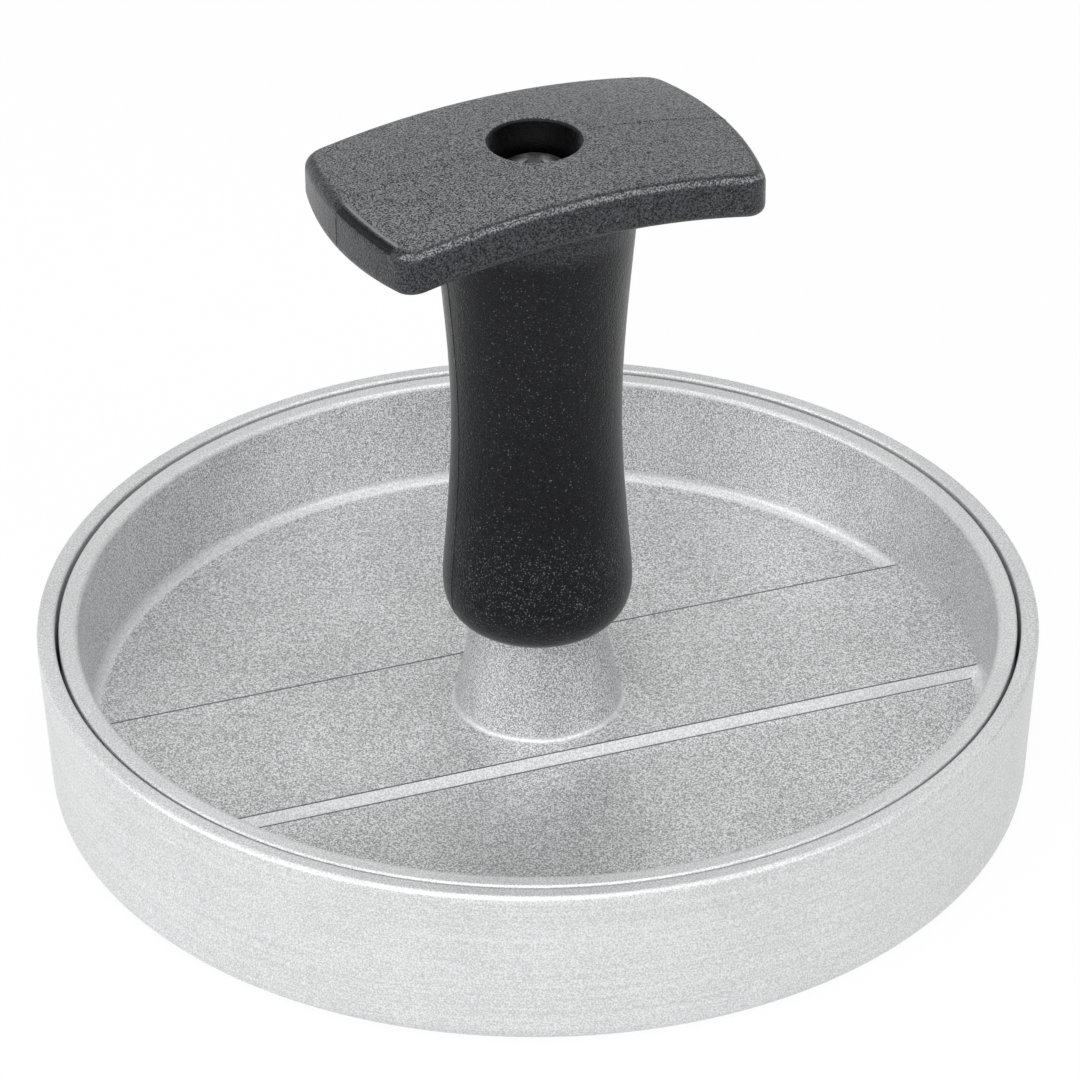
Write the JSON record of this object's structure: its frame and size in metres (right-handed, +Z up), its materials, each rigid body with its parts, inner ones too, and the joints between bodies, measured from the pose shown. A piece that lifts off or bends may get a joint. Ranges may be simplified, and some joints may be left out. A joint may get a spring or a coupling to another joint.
{
  "type": "burger press",
  "caption": "Hand press for round meat patties: a shallow cast pan and a dished plate that slides in it, pushed down by a T handle.",
  "frame": {"origin": "middle of the pan's underside, where it rests", "axes": "+Z up along the press's axis; X along the handle's bar; Y across it"},
  "size_m": [0.12, 0.12, 0.084],
  "materials": {
    "cast_aluminium": "fine speckled silver coat on cast metal, half matt",
    "black_plastic": "fine moulded grain with a low sheen",
    "screw_steel": "plain zinc plated"
  },
  "bodies": {
    "base": {"mould_base": "cast_aluminium"},
    "press": {"press_plate": "cast_aluminium", "handle": "black_plastic", "handle_screw": "screw_steel", "screw_washer": "screw_steel"}
  },
  "joints": [
    {"name": "press_lift", "type": "slide", "parent": "base", "child": "press", "axis": [0, 0, 1], "range_m": [0, 0.03]}
  ]
}
